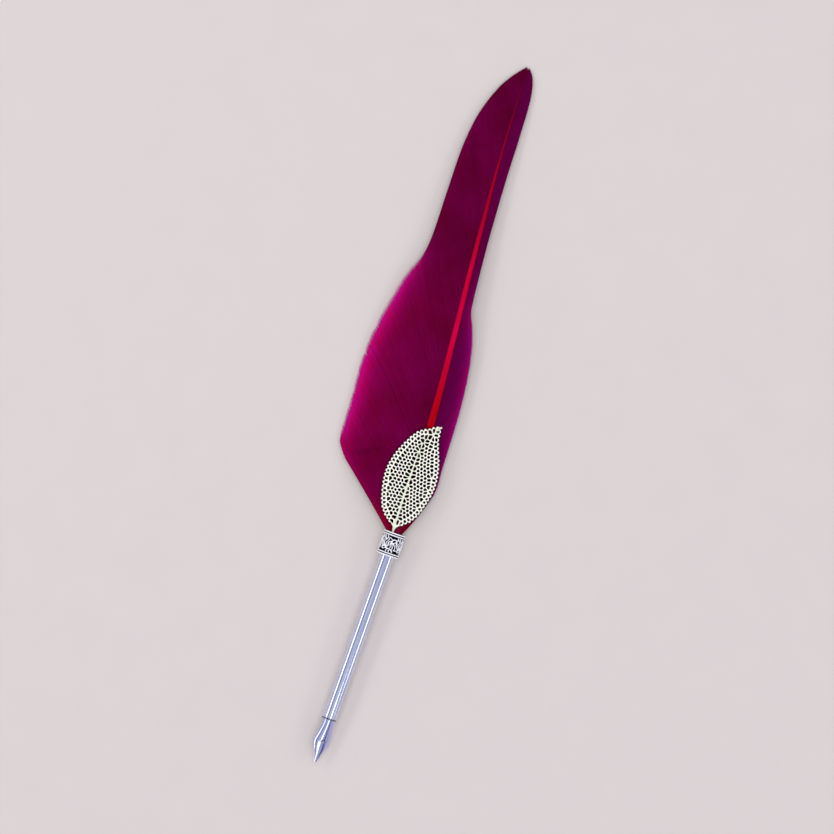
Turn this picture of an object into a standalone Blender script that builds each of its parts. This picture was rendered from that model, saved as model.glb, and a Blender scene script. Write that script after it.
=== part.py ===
"""A dyed goose feather made up as a dip pen, lying on a table.

Five pieces: the feather, a filigree leaf laid on it, the collar that grips both, the metal
barrel and the steel nib. Everything is drawn in millimetres in the pen's frame: X across,
Y along the barrel from just inside the nib's tip, Z up from the table. Two empties turn
that into the world frame, in metres, with the origin under the middle of the whole pen.
"""

import math
import random

import bmesh
import bpy
from mathutils import Vector

MM = 0.001
NAME = "goose_feather_pen"

# The whole pen: its two ends, and how far its middle is from the barrel's axis
NIB_TIP = -0.7
VANE_TIP = 281.5
PEN_X = 12.6

# Barrel: a turned rod with a lip at its end, a blind bore for the quill and a ring slot for the nib
BARREL_R = 2.95
BARREL_BOTTOM = 16.5
BARREL_TOP = 89.8
BARREL_EDGE = 0.15
LIP_R = 3.1
LIP_HEIGHT = 0.4
QUILL_BORE_R = 2.1
QUILL_BORE_BOTTOM = 75.0
SLOT_OUTER_R = 2.75
SLOT_INNER_R = 1.85
SLOT_DEPTH = 7.5
CORE_RECESS = 0.8
ROUND_STEPS = 24

# Collar: a cast ring with a pair of thin rims at each end and raised scrolls between them
COLLAR_BOTTOM = 84.2
COLLAR_TOP = 93.5
COLLAR_BORE_R = 3.25
COLLAR_MOUTH_R = 3.75
COLLAR_MOUTH_DEPTH = 3.2
RIM_R = 4.45
RIM_HEIGHT = 0.6
RIM_GAP = 0.3
RIM_GROOVE_R = 4.2
DRUM_R = 4.05
SCROLL_COUNT = 8
SCROLL_SIZE = 1.55
SCROLL_INNER_SHARE = 0.36
SCROLL_OFFSET = 1.25
SCROLL_WIRE_R = 0.36
SCROLL_TURNS = 1.2
SCROLL_POINTS = 11

# Nib: a bent steel sheet, rolled a little to the right in its slot
NIB_ROLL = math.radians(22)
NIB_THICKNESS = 0.3
NIB_BACK = 23.0
NIB_HALF_WIDTH = ((-0.7, 0.5), (1.0, 0.8), (3.0, 1.5), (5.0, 2.5), (6.5, 3.2), (7.8, 3.42), (9.5, 3.2),
                  (12.0, 2.85), (15.0, 2.45), (23.0, 2.4))
NIB_BEND_R = ((-0.7, 2.2), (5.0, 3.4), (7.8, 4.3), (12.0, 3.2), (15.0, 2.55), (17.0, 2.5), (23.0, 2.5))
NIB_CREST = ((-0.7, 1.2), (4.0, 1.9), (9.0, 2.4), (14.0, 2.5), (23.0, 2.5))
NIB_ROWS = 22
NIB_COLUMNS = 10
VENT_R = 0.6
VENT_Y = 7.5
SLIT_WIDTH = 0.14
SLIT_END = -2.0
CUTTER_DEPTH = 4.0

# Feather: the shaft's line in plan, its height above the table and its width
SHAFT_FOOT = 77.0
SHAFT_END = 279.0
SHAFT_X = ((77, 0.0), (94, 0.3), (110, 0.15), (125, -0.5), (140, -1.4), (160, -3.0), (185, -5.35),
           (205, -7.25), (228, -9.2), (250, -10.7), (281.5, -12.0))
SHAFT_Z = ((98, 4.75), (120, 5.4), (140, 6.0), (160, 6.3), (185, 6.0), (205, 5.2), (228, 4.2),
           (250, 3.0), (270, 1.6), (281.5, 0.9))
SHAFT_WIDTH = ((77, 3.0), (140, 3.0), (160, 2.6), (185, 2.2), (215, 1.9), (240, 1.2), (255, 0.8),
               (279, 0.5))
SHAFT_SINK = 0.2
SHAFT_POINTS = 34

# Feather: the vanes' outer edges, and how far they sag below the shaft
VANE_FOOT = 91.3
VANE_MOUTH = 93.8
LEFT_EDGE = ((91.3, -2.9), (93.8, -3.3), (96, -5.4), (100, -10.0), (107.4, -19.2), (114, -27.6),
             (118, -31.0), (121, -32.5), (134, -33.2), (150, -34.3), (158, -34.4), (168, -33.5),
             (180, -31.3), (190, -29.0), (198, -26.2), (206, -25.1), (225, -25.4), (243, -25.6),
             (255, -24.5), (263, -22.6), (270.7, -19.7), (276.5, -16.2), (281.5, -12.4))
RIGHT_EDGE = ((91.3, 2.6), (93.8, 2.9), (101, 5.9), (107, 7.9), (112, 8.9), (116, 9.2), (123, 8.7),
              (140, 8.0), (150, 7.3), (160, 6.1), (170, 4.1), (178, 1.5), (184, -1.1), (190, -2.0),
              (200, -3.0), (214, -4.2), (236, -5.5), (255, -6.2), (268, -6.9), (274.6, -8.0),
              (278.5, -9.5), (281.5, -11.5))
VANE_THICKNESS = 0.7
LEFT_SAG = 5.6
LEFT_REACH = 34.0
LEFT_POWER = 1.5
RIGHT_SAG = 3.0
RIGHT_REACH = 9.3
RIGHT_POWER = 1.4
EDGE_CLEARANCE = 0.9
VANE_ROWS = 48
LEFT_COLUMNS = 7
RIGHT_COLUMNS = 4

# Leaf: a thin pierced plate lying on the shaft, its stem pushed into the collar's mouth
LEAF_OUTLINE = ((-0.65, 91.0), (-0.65, 94.0), (0.0, 95.6), (2.1, 97.8), (4.2, 100.0), (6.0, 103.4),
                (7.7, 109.4), (8.4, 114.0), (8.1, 119.0), (6.8, 124.4), (5.1, 128.8), (3.7, 132.8),
                (3.3, 136.0), (3.0, 138.0), (1.6, 137.5), (-1.3, 135.6), (-3.8, 134.3), (-5.9, 131.9),
                (-8.4, 127.2), (-10.3, 122.4), (-11.4, 117.0), (-11.2, 112.0), (-9.9, 106.0),
                (-8.3, 101.8), (-6.7, 99.6), (-4.6, 97.7), (-2.3, 95.8), (-1.55, 94.0), (-1.55, 91.0))
LEAF_MIDRIB = ((94, -1.1), (105, -1.6), (115, -1.8), (124, -2.0), (130, -1.3), (135, 0.8), (138, 3.0))
LEAF_MIDRIB_HALF = 0.55
LEAF_THICKNESS = 0.4
LEAF_GAP = 0.3
LEAF_CURL = 0.013
LEAF_RIM = 0.5
LEAF_WEB = 0.6
LEAF_PITCH_ALONG = 2.35
LEAF_PITCH_ACROSS = 1.85
LEAF_LOWEST_ROW = 98.0
LEAF_ROWS = range(-8, 26)
LEAF_STEPS = 12
LEAF_JITTER = 0.22
LEAF_HOLE_REACH = 3.0
LEAF_HOLE_MIN_AREA = 0.55
LEAF_CORNER_MERGE = 0.5
VEIN_ANGLE = math.radians(46)

# Where the pen rests: the collar's lower rim and the lip of the barrel are on the table
TILT = math.atan2(RIM_R - LIP_R, COLLAR_BOTTOM - BARREL_BOTTOM)
AXIS_START_Z = LIP_R * math.cos(TILT) - BARREL_BOTTOM * math.sin(TILT)


def smooth(points, at):
    """Reads a smooth curve through (place, value) points at one place."""
    if at <= points[0][0]:
        return points[0][1]
    if at >= points[-1][0]:
        return points[-1][1]
    index = next(i for i in range(len(points) - 1) if at <= points[i + 1][0])
    (x0, y0), (x1, y1) = points[index], points[index + 1]

    def slope(i):
        before, after = points[max(i - 1, 0)], points[min(i + 1, len(points) - 1)]
        return (after[1] - before[1]) / (after[0] - before[0])

    step = x1 - x0
    t = (at - x0) / step
    rise = (2 * t**3 - 3 * t**2 + 1) * y0 + (3 * t**2 - 2 * t**3) * y1
    return rise + step * ((t**3 - 2 * t**2 + t) * slope(index) + (t**3 - t**2) * slope(index + 1))


def axis_z(y):
    """Height of the barrel's axis above the table."""
    return AXIS_START_Z + y * math.sin(TILT)


def shaft_z(y):
    """Height of the feather's shaft: straight in the holder, then an arch."""
    start = VANE_FOOT
    if y <= start:
        return axis_z(y)
    return smooth(((start, axis_z(start)), *SHAFT_Z), y)


def vane_z(x, y):
    """Height of the vane's upper face."""
    side = x - smooth(SHAFT_X, y)
    height = shaft_z(y)
    room = max(height - EDGE_CLEARANCE, 0.0)
    if side < 0:
        return height - min(LEFT_SAG, room) * (-side / LEFT_REACH) ** LEFT_POWER
    return height - min(RIGHT_SAG, room) * (side / RIGHT_REACH) ** RIGHT_POWER


def leaf_z(x, y):
    """Height of the middle of the leaf's plate."""
    above_shaft = smooth(SHAFT_WIDTH, y) / 2 - SHAFT_SINK + LEAF_GAP + LEAF_THICKNESS / 2
    return shaft_z(y) + above_shaft - LEAF_CURL * (x - smooth(LEAF_MIDRIB, y)) ** 2


def material(name, colour, roughness, metallic):
    made = bpy.data.materials.new(name)
    made.use_nodes = True
    shader = made.node_tree.nodes["Principled BSDF"]
    shader.inputs["Base Color"].default_value = (*colour, 1)
    shader.inputs["Roughness"].default_value = roughness
    shader.inputs["Metallic"].default_value = metallic
    return made


def collection(name):
    made = bpy.data.collections.new(name)
    bpy.context.scene.collection.children.link(made)
    return made


def add(name, data, group, parent=None, finish=None):
    """Links a new object, in its group and under its parent."""
    made = bpy.data.objects.new(name, data)
    group.objects.link(made)
    made.parent = parent
    if finish is not None:
        data.materials.append(finish)
    return made


def empty(name, group, location, parent=None, rotation=(0, 0, 0)):
    made = add(name, None, group, parent)
    made.location = Vector(location) * MM
    made.rotation_euler = rotation
    return made


def hide_cutter(cutter):
    cutter.hide_render = True
    cutter.display_type = "WIRE"


def turned(name, profile, group, parent, finish):
    """Turns a profile of (radius, place along the axis) points about the Y axis."""
    mesh = bpy.data.meshes.new(name)
    shape = bmesh.new()
    corners = [shape.verts.new((r * MM, y * MM, 0)) for r, y in profile]
    for first, second in zip(corners, corners[1:]):
        shape.edges.new((first, second))
    shape.to_mesh(mesh)
    shape.free()
    made = add(name, mesh, group, parent, finish)
    screw = made.modifiers.new("turn", "SCREW")
    screw.axis = "Y"
    screw.steps = ROUND_STEPS
    screw.render_steps = ROUND_STEPS
    screw.use_merge_vertices = True
    screw.merge_threshold = 0.00001
    return made


def mapped_grid(name, columns, rows, place):
    """A grid whose corners are moved by place(column share, row share), both from 0 to 1."""
    mesh = bpy.data.meshes.new(name)
    shape = bmesh.new()
    bmesh.ops.create_grid(shape, x_segments=columns, y_segments=rows, size=0.5)
    for corner in shape.verts:
        corner.co = Vector(place(corner.co.x + 0.5, corner.co.y + 0.5)) * MM
    shape.to_mesh(mesh)
    shape.free()
    return mesh


def thickened(name, mesh, thickness, group, parent, finish):
    """Thickens an open surface downwards from its upper face."""
    made = add(name, mesh, group, parent, finish)
    solidify = made.modifiers.new("thickness", "SOLIDIFY")
    solidify.thickness = thickness * MM
    solidify.offset = -1
    return made


def mesh_from_curve(curve, name):
    """The evaluated mesh of a curve, with its caps welded on. The curve is removed."""
    guide = bpy.data.objects.new(name + "_guide", curve)
    bpy.context.scene.collection.objects.link(guide)
    bpy.context.view_layer.update()
    mesh = bpy.data.meshes.new_from_object(guide.evaluated_get(bpy.context.evaluated_depsgraph_get()))
    bpy.data.objects.remove(guide)
    shape = bmesh.new()
    shape.from_mesh(mesh)
    bmesh.ops.remove_doubles(shape, verts=shape.verts, dist=0.000005)
    bmesh.ops.recalc_face_normals(shape, faces=shape.faces)
    shape.to_mesh(mesh)
    shape.free()
    mesh.name = name
    return mesh


def tube(name, points, radii, resolution=2):
    """A round tapering rod through points, as a mesh."""
    curve = bpy.data.curves.new(name, "CURVE")
    curve.dimensions = "3D"
    curve.bevel_depth = MM
    curve.bevel_resolution = resolution
    curve.use_fill_caps = True
    spline = curve.splines.new("POLY")
    spline.points.add(len(points) - 1)
    for corner, place, radius in zip(spline.points, points, radii):
        corner.co = (*(Vector(place) * MM), 1)
        corner.radius = radius
    return mesh_from_curve(curve, name)


def join_in(target, mesh, cutters, operation="UNION"):
    """Joins a mesh into an object, or cuts it away, by a Boolean modifier."""
    other = add(target.name + "_" + mesh.name, mesh, cutters, target.parent)
    hide_cutter(other)
    boolean = target.modifiers.new(mesh.name, "BOOLEAN")
    boolean.operation = operation
    boolean.object = other
    return other


def make_barrel(group, parent, finish):
    core_end = BARREL_BOTTOM + CORE_RECESS
    slot_end = BARREL_BOTTOM + SLOT_DEPTH
    profile = (
        (0, QUILL_BORE_BOTTOM), (QUILL_BORE_R, QUILL_BORE_BOTTOM), (QUILL_BORE_R, BARREL_TOP),
        (BARREL_R - BARREL_EDGE, BARREL_TOP), (BARREL_R, BARREL_TOP - BARREL_EDGE),
        (BARREL_R, BARREL_BOTTOM + LIP_HEIGHT), (LIP_R, BARREL_BOTTOM + LIP_HEIGHT),
        (LIP_R, BARREL_BOTTOM), (SLOT_OUTER_R, BARREL_BOTTOM), (SLOT_OUTER_R, slot_end),
        (SLOT_INNER_R, slot_end), (SLOT_INNER_R, core_end), (0, core_end),
    )
    return turned("barrel", profile, group, parent, finish)


def scroll_mesh(index):
    """One raised curl on the drum: a spiral, wound round the collar's axis."""
    middle_angle = 2 * math.pi * index / SCROLL_COUNT
    up = 1 if index % 2 else -1
    middle_y = (COLLAR_BOTTOM + COLLAR_TOP) / 2 + up * SCROLL_OFFSET
    points = []
    for step in range(SCROLL_POINTS):
        share = step / (SCROLL_POINTS - 1)
        turn = up * (math.pi * 0.5 + 2 * math.pi * SCROLL_TURNS * share)
        size = SCROLL_SIZE * (1 - (1 - SCROLL_INNER_SHARE) * share)
        around = middle_angle + size * math.cos(turn) / DRUM_R
        y = middle_y + size * math.sin(turn)
        points.append((DRUM_R * math.sin(around), y, DRUM_R * math.cos(around)))
    radii = [SCROLL_WIRE_R] * SCROLL_POINTS
    return tube(f"scroll_{index + 1}", points, radii, resolution=0)


def make_collar(group, cutters, parent, finish):
    pair = 2 * RIM_HEIGHT + RIM_GAP
    mouth_y = COLLAR_TOP - COLLAR_MOUTH_DEPTH
    lower_rim = COLLAR_BOTTOM + RIM_HEIGHT
    upper_rim = COLLAR_TOP - RIM_HEIGHT
    profile = (
        (COLLAR_BORE_R, COLLAR_BOTTOM), (COLLAR_BORE_R, mouth_y), (COLLAR_MOUTH_R, mouth_y),
        (COLLAR_MOUTH_R, COLLAR_TOP), (RIM_R, COLLAR_TOP), (RIM_R, upper_rim),
        (RIM_GROOVE_R, upper_rim), (RIM_GROOVE_R, upper_rim - RIM_GAP), (RIM_R, upper_rim - RIM_GAP),
        (RIM_R, COLLAR_TOP - pair), (DRUM_R, COLLAR_TOP - pair), (DRUM_R, COLLAR_BOTTOM + pair),
        (RIM_R, COLLAR_BOTTOM + pair), (RIM_R, lower_rim + RIM_GAP),
        (RIM_GROOVE_R, lower_rim + RIM_GAP), (RIM_GROOVE_R, lower_rim), (RIM_R, lower_rim),
        (RIM_R, COLLAR_BOTTOM), (COLLAR_BORE_R, COLLAR_BOTTOM),
    )
    collar = turned("collar", profile, group, parent, finish)
    for index in range(SCROLL_COUNT):
        join_in(collar, scroll_mesh(index), cutters)
    return collar


def nib_place(column, row):
    """A point of the nib's upper face, bent round an axis that runs along the nib."""
    y = NIB_TIP + (NIB_BACK - NIB_TIP) * row
    bend = smooth(NIB_BEND_R, y)
    reach = min(smooth(NIB_HALF_WIDTH, y) / bend, 0.985)
    angle = math.asin(reach) * (2 * column - 1)
    return bend * math.sin(angle), y, smooth(NIB_CREST, y) - bend * (1 - math.cos(angle))


def vent_cutter():
    mesh = bpy.data.meshes.new("vent")
    shape = bmesh.new()
    bmesh.ops.create_cone(shape, cap_ends=True, segments=12, radius1=VENT_R * MM, radius2=VENT_R * MM,
                          depth=CUTTER_DEPTH * MM)
    shape.to_mesh(mesh)
    shape.free()
    return mesh


def slit_cutter():
    mesh = bpy.data.meshes.new("slit")
    shape = bmesh.new()
    bmesh.ops.create_cube(shape, size=MM)
    for corner in shape.verts:
        corner.co *= Vector((SLIT_WIDTH, VENT_Y - SLIT_END, CUTTER_DEPTH))
    shape.to_mesh(mesh)
    shape.free()
    return mesh


def make_nib(group, cutters, parent, finish):
    mesh = mapped_grid("nib", NIB_COLUMNS, NIB_ROWS, nib_place)
    nib = thickened("nib", mesh, NIB_THICKNESS, group, parent, finish)
    crest = smooth(NIB_CREST, VENT_Y)
    vent = join_in(nib, vent_cutter(), cutters, "DIFFERENCE")
    vent.location = Vector((0, VENT_Y, crest)) * MM
    slit = join_in(nib, slit_cutter(), cutters, "DIFFERENCE")
    slit.location = Vector((0, (VENT_Y + SLIT_END) / 2, crest)) * MM
    return nib


def vane_place(column, row):
    """A point of the vanes' upper face, left edge to shaft to right edge."""
    first = 1 / VANE_ROWS
    if row <= first:
        y = VANE_FOOT + (VANE_MOUTH - VANE_FOOT) * row / first
    else:
        y = VANE_MOUTH + (VANE_TIP - VANE_MOUTH) * (row - first) / (1 - first)
    middle = LEFT_COLUMNS / (LEFT_COLUMNS + RIGHT_COLUMNS)
    shaft = smooth(SHAFT_X, y)
    if column <= middle:
        edge = smooth(LEFT_EDGE, y)
        x = edge + (shaft - edge) * column / middle
    else:
        edge = smooth(RIGHT_EDGE, y)
        x = shaft + (edge - shaft) * (column - middle) / (1 - middle)
    return x, y, vane_z(x, y)


def shaft_mesh():
    points = []
    radii = []
    for index in range(SHAFT_POINTS):
        y = SHAFT_FOOT + (SHAFT_END - SHAFT_FOOT) * index / (SHAFT_POINTS - 1)
        sink = SHAFT_SINK if y > VANE_FOOT else 0.0
        points.append((smooth(SHAFT_X, y), y, shaft_z(y) - sink))
        radii.append(smooth(SHAFT_WIDTH, y) / 2)
    return tube("shaft", points, radii)


def make_feather(group, cutters, parent, finish):
    mesh = mapped_grid("feather", LEFT_COLUMNS + RIGHT_COLUMNS, VANE_ROWS, vane_place)
    feather = thickened("feather", mesh, VANE_THICKNESS, group, parent, finish)
    join_in(feather, shaft_mesh(), cutters)
    return feather


def clipped(shape, point, outward):
    """The part of a convex outline that lies behind a line."""
    kept = []
    for index, corner in enumerate(shape):
        after = shape[(index + 1) % len(shape)]
        here = (corner - point).dot(outward)
        there = (after - point).dot(outward)
        if here <= 0:
            kept.append(corner)
        if here * there < 0:
            kept.append(corner + (after - corner) * (here / (here - there)))
    return kept


def area_of(shape):
    turned_round = zip(shape, shape[1:] + shape[:1])
    return abs(sum(a.x * b.y - b.x * a.y for a, b in turned_round)) / 2


def hole_sites():
    """Middles of the holes, in slanting rows that rise from the midrib on both sides."""
    draw = random.Random(11)
    along = Vector((math.cos(VEIN_ANGLE), math.sin(VEIN_ANGLE)))
    across = Vector((-along.y, along.x))
    sites = []
    for side in (-1, 1):
        for row in LEAF_ROWS:
            for step in range(LEAF_STEPS):
                shift = 0.5 * (row % 2)
                run = along * LEAF_PITCH_ALONG * (step + shift)
                rise = across * LEAF_PITCH_ACROSS * row
                spot = run + rise + Vector((draw.uniform(-1, 1), draw.uniform(-1, 1))) * LEAF_JITTER
                y = LEAF_LOWEST_ROW + spot.y
                if spot.x > LEAF_MIDRIB_HALF:
                    sites.append((side, Vector((smooth(LEAF_MIDRIB, y) + side * spot.x, y))))
    return sites


def hole_shape(side, site, sites):
    """One hole: the ground nearer to its middle than to any other, less half a web all round."""
    reach = LEAF_HOLE_REACH
    shape = [site + Vector((sx * reach, sy * reach)) for sx, sy in ((-1, -1), (1, -1), (1, 1), (-1, 1))]
    for other_side, other in sites:
        gap = other - site
        if other_side == side and 0 < gap.length < 2 * reach:
            outward = gap.normalized()
            shape = clipped(shape, (site + other) / 2 - outward * LEAF_WEB / 2, outward)
    rib = Vector((smooth(LEAF_MIDRIB, site.y), site.y))
    shape = clipped(shape, rib + Vector((side * LEAF_MIDRIB_HALF, 0)), Vector((-side, 0)))
    outline = [Vector(point) for point in LEAF_OUTLINE]
    for start, end in zip(outline, outline[1:] + outline[:1]):
        run = (end - start).normalized()
        outward = Vector((run.y, -run.x))
        if (site - start).dot(run) > -reach and (site - end).dot(run) < reach:
            shape = clipped(shape, start - outward * LEAF_RIM, outward)
    return shape


def merged(shape):
    """Drops corners that stand too close together to be told apart."""
    kept = []
    for corner in shape:
        if not kept or (corner - kept[-1]).length > LEAF_CORNER_MERGE:
            kept.append(corner)
    if len(kept) > 2 and (kept[0] - kept[-1]).length <= LEAF_CORNER_MERGE:
        kept.pop()
    return kept


def leaf_plate():
    """The leaf's pierced plate, flat, as a mesh."""
    curve = bpy.data.curves.new("leaf", "CURVE")
    curve.dimensions = "2D"
    curve.fill_mode = "BOTH"
    curve.extrude = LEAF_THICKNESS / 2 * MM
    sites = hole_sites()
    loops = [[Vector(point) for point in LEAF_OUTLINE]]
    for side, site in sites:
        shape = merged(hole_shape(side, site, sites))
        if len(shape) > 2 and area_of(shape) > LEAF_HOLE_MIN_AREA:
            loops.append(shape)
    for loop in loops:
        spline = curve.splines.new("POLY")
        spline.points.add(len(loop) - 1)
        spline.use_cyclic_u = True
        for corner, place in zip(spline.points, loop):
            corner.co = (place.x * MM, place.y * MM, 0, 1)
    return mesh_from_curve(curve, "leaf")


def make_leaf(group, parent, finish):
    mesh = leaf_plate()
    for corner in mesh.vertices:
        corner.co.z += leaf_z(corner.co.x / MM, corner.co.y / MM) * MM
    return add("leaf", mesh, group, parent, finish)


def main():
    for old in list(bpy.data.objects):
        bpy.data.objects.remove(old)
    parts = collection(NAME)
    cutters = collection("cutters")

    polished = material("polished_barrel", (0.66, 0.68, 0.76), 0.16, 1.0)
    antique = material("antique_silver", (0.60, 0.59, 0.62), 0.34, 1.0)
    steel = material("nib_steel", (0.66, 0.68, 0.78), 0.14, 1.0)
    plume = material("dyed_feather", (0.17, 0.003, 0.055), 0.6, 0.0)
    gilt = material("pale_gold", (0.80, 0.77, 0.58), 0.35, 1.0)

    table_frame = empty("pen_on_table", parts, (PEN_X, -(NIB_TIP + VANE_TIP) / 2, 0))
    holder_frame = empty("pen_axis", parts, (0, 0, AXIS_START_Z), table_frame, (TILT, 0, 0))
    nib_frame = empty("nib_roll", parts, (0, 0, 0), holder_frame, (0, NIB_ROLL, 0))

    make_feather(parts, cutters, table_frame, plume)
    make_leaf(parts, table_frame, gilt)
    make_collar(parts, cutters, holder_frame, antique)
    make_barrel(parts, holder_frame, polished)
    make_nib(parts, cutters, nib_frame, steel)


main()
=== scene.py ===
"""Looks of the goose feather dip pen: barbs, filigree, cast scrolls, polished metal, light and camera.

Sizes are in millimetres in the pen's frame, as in the solids: X across, Y along the barrel
from just inside the nib's tip, Z up from the table.
"""

import math
import random

import bmesh
import bpy
import numpy as np
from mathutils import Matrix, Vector


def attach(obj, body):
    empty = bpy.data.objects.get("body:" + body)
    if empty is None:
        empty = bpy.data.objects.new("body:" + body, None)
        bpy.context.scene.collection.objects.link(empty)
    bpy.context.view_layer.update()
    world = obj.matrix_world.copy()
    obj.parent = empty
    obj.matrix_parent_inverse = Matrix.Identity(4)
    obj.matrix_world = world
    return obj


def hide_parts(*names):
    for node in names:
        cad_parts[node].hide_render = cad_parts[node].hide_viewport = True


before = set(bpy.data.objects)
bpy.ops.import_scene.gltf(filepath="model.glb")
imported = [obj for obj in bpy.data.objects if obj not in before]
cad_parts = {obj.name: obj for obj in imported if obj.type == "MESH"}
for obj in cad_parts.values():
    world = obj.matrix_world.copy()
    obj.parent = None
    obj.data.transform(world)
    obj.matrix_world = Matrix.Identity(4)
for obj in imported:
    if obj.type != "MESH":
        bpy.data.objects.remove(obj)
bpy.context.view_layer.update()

MM = 0.001

# Places and sizes that the solids share
NIB_TIP = -0.7
VANE_TIP = 281.5
PEN_X = 12.6
BARREL_R = 2.95
BARREL_BOTTOM = 16.5
BARREL_TOP = 89.8
LIP_R = 3.1
COLLAR_BOTTOM = 84.2
COLLAR_TOP = 93.5
COLLAR_BORE_R = 3.25
COLLAR_MOUTH_R = 3.75
COLLAR_MOUTH_DEPTH = 3.2
RIM_R = 4.45
DRUM_R = 4.0
TILT = math.atan2(RIM_R - LIP_R, COLLAR_BOTTOM - BARREL_BOTTOM)
AXIS_START_Z = LIP_R * math.cos(TILT) - BARREL_BOTTOM * math.sin(TILT)

# Feather: nearly the solid's lines and edges. Where two vanes differ, -1 is the left one and 1 the
# right one. Each vane sags by (depth, reach, power)
VANE_FOOT = 91.3
SHAFT_FOOT = 77.0
SHAFT_END = 280.9
SHAFT_SINK = 0.2
SHAFT_X = ((77, 0), (94, 0.3), (110, 0.15), (125, -0.5), (140, -1.4), (160, -3), (185, -5.35),
           (205, -7.25), (228, -9.2), (250, -10.7), (281.5, -12))
SHAFT_Z = ((98, 4.75), (120, 5.4), (140, 6), (160, 6.3), (185, 6), (205, 5.2), (228, 4.2),
           (250, 3), (270, 1.6), (281.5, 0.9))
SHAFT_WIDTH = ((77, 3), (140, 3), (160, 2.6), (185, 2.2), (215, 1.8), (240, 1.1), (255, 0.75),
               (281, 0.35))
EDGES = {
    -1: ((91.3, -2.9), (93.8, -3.3), (96, -5.4), (100, -10), (107.4, -19.2), (114, -27.6), (118, -31),
         (121, -32.5), (134, -33.2), (150, -34.3), (158, -34.4), (168, -33.5), (180, -31.3), (190, -29),
         (198, -26.2), (206, -25.1), (225, -25.4), (243, -25.6), (255, -24.5), (263, -22.6),
         (270.7, -19.7), (276.5, -16.2), (281.5, -12.15)),
    1: ((91.3, 2.6), (93.8, 2.9), (101, 5.9), (107, 7.9), (112, 8.9), (116, 9.2), (123, 8.7), (140, 8),
        (150, 7.3), (160, 6.1), (170, 4.1), (178, 1.5), (184, -1.1), (190, -2), (200, -3),
        (214, -4.2), (236, -5.5), (255, -6.2), (268, -6.9), (274.6, -8), (278.5, -9.5),
        (281.5, -11.85)),
}
SAGS = {-1: (5.6, 34, 1.5), 1: (3, 9.3, 1.4)}
EDGE_CLEARANCE = 0.9
EDGE_OUT = {-1: 0.12, 1: 0.25}

# Barbs: where along the shaft they start, how far up they reach and how they lean from the Y axis
BARB_FIRST = 90.8
BARB_LAST = 279.6
BARB_SPACING = 0.4
RISES = {
    -1: ((90.8, 23.8), (92.6, 27.2), (100, 31), (110, 34), (120, 36.5), (130, 38), (145, 39), (160, 40),
         (175, 41), (195, 41.5), (215, 37.5), (235, 28.5), (250, 20.5), (262, 13.5), (272, 7),
         (279.6, 1.8)),
    1: ((90.8, 21), (110, 21), (130, 20), (150, 18), (165, 16.5), (180, 15), (200, 14), (230, 14),
        (250, 13), (262, 10), (272, 5.5), (279.6, 1.6)),
}
LEANS = {
    -1: ((90.8, 47.6), (100, 43), (115, 36), (130, 32), (180, 28), (240, 22), (279.6, 14)),
    1: ((90.8, 28), (100, 28), (120, 25), (150, 22), (180, 17), (230, 12), (279.6, 4)),
}
BARB_BEND = 0.45
BARB_OVERLAP = 1.35
BARB_RIDGE = 0.10
BARB_UNDER = 0.10
BARB_LIFT = 0.06
WEB_DROP = 0.04
WEB_THICKNESS = 0.10
CLUMP = 7

# Down on the left and right edges: where it starts and ends along the pen, and how much there is
DOWNY_STRETCH = {-1: ((120.5, 126.5), (193, 203)), 1: ((98, 104), (172, 184))}
DOWNY_SHARE = {-1: 1, 1: 0.4}
TIP_LENGTH = 1.5
HAIRS_PER_BARB = 12
HAIR_LENGTH = (0.3, 1)
HAIR_SPREAD = (0.2, 0.7)
HAIR_HALF_WIDTH = 0.03
HAIR_HEIGHT = 0.06
HAIR_FACES = ((0, 1, 3), (1, 2, 3), (2, 0, 3), (0, 2, 1))

# Splits in the left edge, as (place along the edge, half gap, depth), and the ends of a painted shade line
# across the vane, as of a faint fold
SPLITS = ((155.9, 0.42, 2.8), (167.2, 0.25, 2.2), (140.2, 0.22, 2.5), (151.6, 0.07, 3),
          (130.5, 0.07, 4), (177, 0.07, 3))
SPLIT_SPREAD = 3.0
OPEN_GAP = 0.2
TEAR_WIDTH = 0.8
CREASE_SHADE_LINE = ((-27, 116.6), (-14, 123.4))

# Leaf: nearly the solid's outline, with lobed margins and more, smaller holes
LEAF_OUTLINE = ((-0.75, 94), (-0.35, 95.6), (2.1, 97.8), (4.2, 100), (6, 103.4),
                (7.7, 109.4), (8.4, 114), (8.1, 119), (6.8, 124.4), (5.1, 128.8), (3.7, 132.8),
                (3.3, 136), (3, 138), (1.6, 137.5), (-1.3, 135.6), (-3.8, 134.3), (-5.9, 131.9),
                (-8.4, 127.2), (-10.3, 122.4), (-11.4, 117), (-11.2, 112), (-9.9, 106),
                (-8.3, 101.8), (-6.7, 99.6), (-4.6, 97.7), (-2, 95.8), (-1.4, 94))
LEAF_TIP = 12
LEAF_STEM = (-1.35, -0.8)
LEAF_STEM_FOOT = 91.1
LEAF_ROWS_FROM = 95.5
LEAF_HOLES_BETWEEN = (95.9, 137.5)
LEAF_REACH = 12
LEAF_SEED = 23
LEAF_MIDRIB = ((94, -1.1), (105, -1.6), (115, -1.8), (124, -2), (130, -1.3), (135, 0.8), (138, 3))
LEAF_RIB_HALF = ((94, 0.24), (104, 0.30), (118, 0.24), (127, 0.10), (138, 0.03))
LEAF_PLATE = 0.22
LEAF_ROUND = 0.06
LEAF_GAP = 0.3
LEAF_HALF_THICKNESS = 0.2
LEAF_CURL = 0.013
LEAF_RIM = 0.16
LEAF_WEB = 0.25
LEAF_ALONG = 1.56
LEAF_ACROSS = 1.22
LEAF_JITTER = 0.22
LEAF_MIN_AREA = 0.14
LEAF_LEAST_RIM = 0.11
LEAF_CELL_REACH = 1.4
LOBE_PITCH = 1.6
LOBE_DEPTH = 0.85
LOBE_HOLE_INSET = 0.80
LOBE_HOLE_CLEAR = 1.0
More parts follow.
